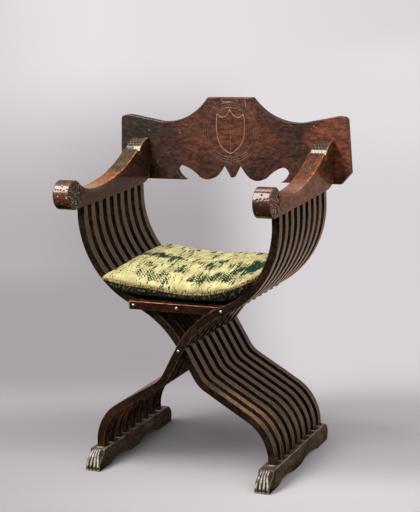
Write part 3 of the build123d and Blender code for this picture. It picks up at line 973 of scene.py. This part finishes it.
# Ovals in mm: middle, reach, and for the pile how much of it is left
PILE = [(-120, 6, 84, 22, 1.1), (-185, -112, 14, 22, 1), (-70, -128, 70, 28, 0.75), (55, -128, 38, 30, 0.9),
        (-110, -70, 20, 34, 0.55), (-20, -60, 26, 40, 0.5), (95, -110, 26, 34, 0.7), (46, -40, 20, 42, 0.9),
        (70, 0, 24, 24, 0.6), (128, -110, 22, 42, 1.1), (150, -50, 34, 52, 1.1), (165, 10, 26, 50, 1.2),
        (110, -20, 20, 40, 0.7), (-20, 118, 20, 16, 0.8), (-75, -30, 30, 46, 0.45), (66, 148, 16, 10, 0.8),
        (10, 60, 30, 40, 0.35), (-60, 80, 30, 40, 0.3), (-140, 110, 40, 30, 0.35), (120, 120, 34, 30, 0.45)]
CHECK = [(-80, -128, 80, 40), (70, -125, 60, 30), (140, -110, 40, 40)]
# The cushion's lower side is painted near black: painted shade
SHADED_UNDERSIDE = 2  # the value of "pile" that stands for the dark lower side
SEAT = 0.4522  # height of the slats' upper side
CORD_STEP, CORD_TURN, CORD_RADIUS = 0.0011, 0.024, 0.0022


def cushion_seam(u, v):
    """The place in metres of the cushion's middle sheet at u, v from -1 to 1. Its edge is the seam."""
    x = 0.199 * u * (1 - 0.035 * (1 - v * v))
    y = 0.012 + 0.172 * v * (1 - 0.035 * (1 - u * u))
    gap = x - 0.035
    front = 0.48 + (0.5 if gap < 0 else 1.6) * gap * gap + 0.004 * exp(-((x + 0.07) / 0.05) ** 2)
    back = 0.499 + 0.45 * x * x
    return Vector((x, y, mix(front, back, smooth(-0.9, 0.6, v))))


def cushion_top(x, y):
    """Height of the filled upper side."""
    crown = 0.534 - 0.012 * smooth(0.02, -0.15, y)
    crown += 0.0145 * exp(-((x + 0.18) / 0.075) ** 2) - 0.006 * exp(-((x + 0.02) / 0.05) ** 2)
    crown += 0.003 * wobble((x, 0.25 * y, 0), 45, 2) + 0.0035 * wobble((x, y, 0), 14, 7)
    return crown + 0.0012 * wobble((x, 0.5 * y, 0), 110, 4)


def cushion_bottom(x):
    """Height of the lower side, which lies on the slats and staves."""
    reach = abs(x) * 1000
    for (x1, z1), (x2, z2) in zip(STAVE_INSIDE, STAVE_INSIDE[1:]):
        if reach <= x2:
            return mix(z1, z2, max(0, (reach - x1) / (x2 - x1))) * MM + 0.001
    return 0.52


def cushion():
    """A plump square cushion with eared corners, which fills the hollow between the two rows of staves."""
    steps = 84
    mesh, pile, check = new_mesh("pile", "check")
    turns = [sin((i / steps - 0.5) * pi) for i in range(steps + 1)]
    grid = {}
    for layer, (i, u), (j, v) in product((1, -1), enumerate(turns), enumerate(turns)):
        if layer < 0 and (i in (0, steps) or j in (0, steps)):
            grid[layer, i, j] = grid[1, i, j]
            continue
        base = cushion_seam(u, v)
        rise = ((1 - u ** 4) * (1 - v ** 4)) ** (0.38 if layer > 0 else 0.36)
        bulge = 0.036 * rise * (1 - rise)
        base.y += 0.9 * bulge * v ** 5
        if layer > 0:
            base.x += bulge * u ** 5
            base.z = mix(base.z, cushion_top(base.x, base.y), rise)
        else:
            base.z = max(mix(base.z, SEAT, rise), cushion_bottom(base.x) if rise > 0.02 else 0)
        vert = mesh.verts.new(base)
        x, y = base.x * 1000, base.y * 1000
        vert[pile] = SHADED_UNDERSIDE if layer < 0 else sum(amount * oval(x, y, *where) for *where, amount in PILE)
        vert[check] = 0 if layer < 0 else max(oval(x, y, *where) for where in CHECK)
        grid[layer, i, j] = vert
    for layer, i, j in product((1, -1), range(steps), range(steps)):
        corners = [grid[layer, i + a, j + b] for a, b in ((0, 0), (1, 0), (1, 1), (0, 1))]
        mesh.faces.new(corners[::layer]).smooth = True
    piece = finish_piece("cushion_velvet", mesh)
    dress(piece, VELVET, "cushion_body")
    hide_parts("cushion")


def trim():
    """A braid of three cords along the cushion's seam."""
    path = []
    for k, i in product(range(4), range(90)):
        t = 2 * i / 90 - 1
        path.append(cushion_seam(*((t, -1), (1, t), (-t, 1), (-1, -t))[k]))
    path = resample_path(path, CORD_STEP)
    count = len(path)
    turns = round(CORD_STEP * count / CORD_TURN)
    mesh = bmesh.new()
    for strand in range(3):
        rings = []
        for i, p in enumerate(path):
            way = (path[(i + 1) % count] - path[i - 1]).normalized()
            side = way.cross(Vector((0, 0, 1))).normalized()
            up = side.cross(way)
            phase = ROUND * (turns * i / count + strand / 3)
            centre = p + side * (0.0018 * cos(phase) + 0.0012) + up * 0.0026 * sin(phase)
            rings.append([mesh.verts.new(centre + (side * cos(a) + up * sin(a)) * CORD_RADIUS)
                          for a in all_round(6)])
        loft(mesh, rings[-1:] + rings)
    dress(finish_piece("cushion_braid", mesh), BRAID, "cushion_body")


def resample_path(path, step):
    """A closed path in space in even steps."""
    after = path[1:] + path[:1]
    lengths = [0]
    for a, b in zip(path, after):
        lengths.append(lengths[-1] + (b - a).length)
    total = round(lengths[-1] / step)
    result, k = [], 0
    for i in range(total):
        want = lengths[-1] * i / total
        while lengths[k + 1] < want:
            k += 1
        result.append(path[k].lerp(after[k], (want - lengths[k]) / (lengths[k + 1] - lengths[k])))
    return result


# Stage, light and camera

def backdrop_paper():
    """Pale grey paper: a real floor near the chair with painted pools of light and shade, and further off a
    painted light and shade by place that no pose changes.
    """
    n = new_material("backdrop_paper")
    x, y, z = n.add("SeparateXYZ", [(0, n.add("TexCoord")["Object"])])
    paper = n.math("SUBTRACT", n.noise(n.place(), 2.2, 2), 0.5)

    def total(*terms):
        return n.plus(n.times(paper, 0.03), *terms)

    def tinted(level):
        green, blue = n.times(level, PAPER_GREEN), n.times(level, PAPER_BLUE)
        return n.add("CombineColor", [(0, level), (1, green), (2, blue)])[0]

    def mixed(share, a, b):
        return n.plus(n.times(n.math("SUBTRACT", 1, share), a), n.times(share, b))

    # Painted light and shade on the floor: lighter in front of the chair, at the front right and far back, a
    # lit pool at the right, a little darker at the very front
    near = n.times(n.ramp(y, -0.05, 0.22, 0.115, 0), n.ramp(x, -0.75, -0.15, 0.35, 1))
    front = n.ramp(y, -0.45, -0.25, -0.03, 0)
    front_right = n.times(n.ramp(y, -0.35, 0.1, 0.21, 0), n.ramp(x, -0.55, 0.45))
    far = n.ramp(y, 0.3, 0.6, 0, 0.1)
    lit_right = n.times(n.ramp(x, 0.05, 0.38), n.ramp(y, -0.2, 0.2, 0, 0.317))
    lit = tinted(total(FLOOR_LEVEL, near, front, front_right, far, lit_right))
    floor = n.add("BsdfDiffuse", [("Color", lit)])[0]

    # Far off the sheet glows for the camera with painted light and shade: darker low down and at the left,
    # lighter up high and at the right
    left_wall = n.plus(n.ramp(z, 0.22, 0.95, 0.392, 0.65),
                       n.times(n.ramp(x, -0.75, -0.25, 0.07, 0), n.ramp(z, 0.05, 0.16)),
                       n.times(n.ramp(x, -0.95, -0.35, 0, 0.14), n.ramp(z, 0.5, 0.95)))
    right_wall = n.plus(n.ramp(z, 0.3, 0.7, 0.69, 0.775),
                        n.times(n.ramp(z, 0.85, 1.05), n.ramp(x, 0.2, 0.9, 0, -0.06)))
    wall = total(mixed(n.ramp(x, -0.04, 0.33), left_wall, right_wall))
    ground_place = n.add("CombineXYZ", [(0, x), (1, y)])[0]
    distance = n.add("VectorMath", [(0, ground_place)], operation="LENGTH")["Value"]
    outside = n.times(n.ramp(distance, 1.2, 2.6), n.ramp(y, 0, 1, 1, 0))
    shown = n.add("Emission", [("Color", tinted(mixed(outside, wall, PALE)))])[0]

    # In reflections the sheet glows a reddish-tan colour, most at the back and the right: a painted reflection
    beside = n.times(n.ramp(x, 0.22, 0.5), n.ramp(y, -0.6, 0.9))
    bright = n.times(n.math("MAXIMUM", n.ramp(y, 0.35, 1.25), beside), 0.9)
    mirrored = n.add("Emission", [("Color", (0.74, 0.55, 0.44)), ("Strength", bright)])[0]

    # The back of the sheet isn't seen, so that views from behind look through it
    path = n.add("LightPath")
    beyond = n.math("MAXIMUM", n.ramp(y, 0.38, 0.85), outside)
    shader = n.either(path["Is Glossy Ray"], floor, mirrored)
    shader = n.either(n.times(path["Is Camera Ray"], beyond), shader, shown)
    reverse = n.times(path["Is Camera Ray"], n.add("NewGeometry")["Backfacing"])
    return n.finish(n.either(reverse, shader, n.add("BsdfTransparent")[0]))


def stage():
    """Floor and backdrop as one sheet with a soft cove, turned to face the camera."""
    mesh = bmesh.new()
    cove, back, front, side, top = 1.1, 2.4, -14, 14, 5
    turns = [radians(d) for d in range(6, 91, 6)]
    profile = [(front, 0), (back - cove, 0)]
    profile += [(back - cove + cove * sin(a), cove - cove * cos(a)) for a in turns]
    profile.append((back, top))
    rows = [[mesh.verts.new((x, y, z)) for x in (-side, side)] for y, z in profile]
    for a, b in zip(rows, rows[1:]):
        mesh.faces.new((a[0], a[1], b[1], b[0])).smooth = True
    sheet = finish_piece("backdrop", mesh, closed=False)
    sheet.rotation_euler = (0, 0, AZIMUTH)
    # The runners go down as the chair folds about its pivot, and the floor goes down with them
    follow = sheet.constraints.new("TRANSFORM")
    follow.target = frame["bodies"]["left_side"]
    follow.target_space = follow.owner_space = "WORLD"
    follow.map_from, follow.map_to, follow.map_to_z_from = "ROTATION", "LOCATION", "Y"
    follow.from_max_y_rot, follow.to_max_z = FOLD_ANGLE, -FOLD_DROP
    sheet.data.materials.append(backdrop_paper())


def lamp(name, place, target, size, power, colour=(1, 1, 1), shine_only=False):
    light = bpy.data.lights.new(name, "AREA")
    light.shape = "RECTANGLE"
    light.size, light.size_y = size
    light.energy, light.color = power, colour
    holder = new_object(name, light)
    holder.location = place
    holder.rotation_euler = (Vector(target) - Vector(place)).to_track_quat("-Z", "Y").to_euler()
    holder.visible_diffuse = not shine_only


def lights():
    """A dim sky that the camera sees as pale, a large lamp at the left and a small one at the right."""
    n = Shading(bpy.data.worlds.new("studio"))
    x, y, z = n.add("SeparateXYZ", [(0, n.add("TexCoord")["Generated"])])
    level = n.plus(n.ramp(z, -0.1, 0.75, 0.04, 0.5), n.times(n.ramp(x, -0.2, 1, 0, 0.25), n.ramp(z, -0.2, 0.2)))
    sky = n.add("Background", [(0, (0.95, 0.96, 1)), (1, level)])[0]
    pale = n.add("Background", [(0, (PALE, PALE * PAPER_GREEN, PALE * PAPER_BLUE))])[0]
    shown = n.either(n.add("LightPath")["Is Camera Ray"], sky, pale)
    bpy.context.scene.world = n.finish(shown, "OutputWorld")
    box, aim, size, colour = (-1.2, -1.45, 2.55), (-1.2, -0.06, 0.7), (1.4, 2.1), (1, 0.985, 0.96)
    lamp("key", box, aim, size, 104, colour)
    lamp("key_shine", box, aim, size, 260, colour, True)
    lamp("fill", (2.3, -0.2, 2.3), (0, 0, 0.4), (1.2, 1.6), 16)


def camera():
    turns = ((AZIMUTH, "Z"), (pi / 2 - ELEVATION, "X"), (ROLL, "Z"))
    first, second, third = [Matrix.Rotation(angle, 4, axis) for angle, axis in turns]
    turn = first @ second @ third
    data = bpy.data.cameras.new("view")
    data.lens, data.clip_end = LENS, 50
    holder = new_object("view", data)
    holder.matrix_world = Matrix.Translation(TARGET + turn.col[2].xyz * DISTANCE) @ turn
    bpy.context.scene.camera = holder


bars("stave")
bars("slat")
arms()
runners()
back_board()
rods()
cushion()
trim()
stage()
lights()
camera()
bpy.context.scene.view_settings.view_transform = "Standard"
bpy.context.view_layer.update()
